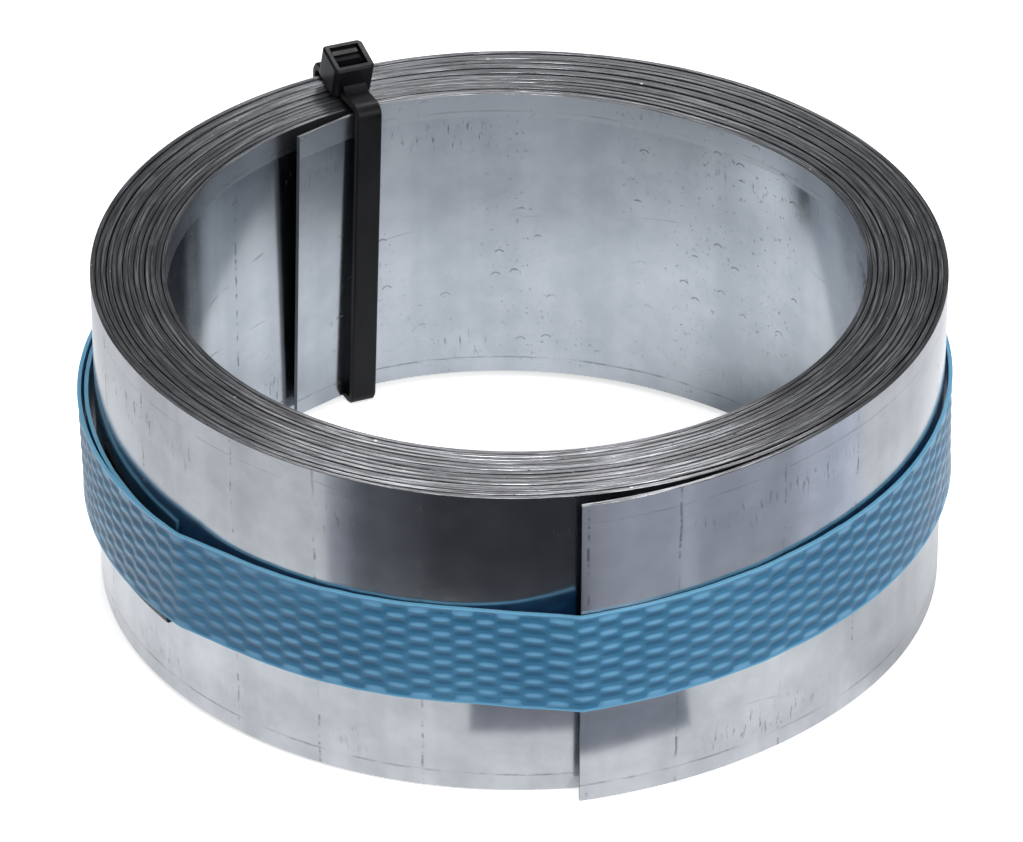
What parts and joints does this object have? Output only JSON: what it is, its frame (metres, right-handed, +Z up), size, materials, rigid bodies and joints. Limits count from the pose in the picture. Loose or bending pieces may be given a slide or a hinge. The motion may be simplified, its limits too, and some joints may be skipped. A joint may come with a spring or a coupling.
{
  "type": "steel strapping coil",
  "caption": "Flat coil of galvanised steel strip, bound round the outside by a plastic strap with a seal and held through the bore by a cable tie.",
  "frame": {"origin": "on the floor the coil rests on, under the middle of its bounding box", "axes": "+Z up along the coil's axis (the coil leans by about half a degree on the tie that runs under it); +Y to the back, where the cable tie is; -Y to the front, where the outer free end is"},
  "size_m": [0.1536, 0.155, 0.0705],
  "materials": {
    "galvanised_steel": "bright zinc coat with scuffs",
    "blue_strapping": "embossed, satin",
    "seal_steel": "dark pressed steel",
    "black_nylon": "satin black nylon"
  },
  "bodies": {
    "root": {"steel_strip_coil": "galvanised_steel", "binding_strap": "blue_strapping", "strap_seal": "seal_steel", "cable_tie": "black_nylon"}
  },
  "joints": []
}
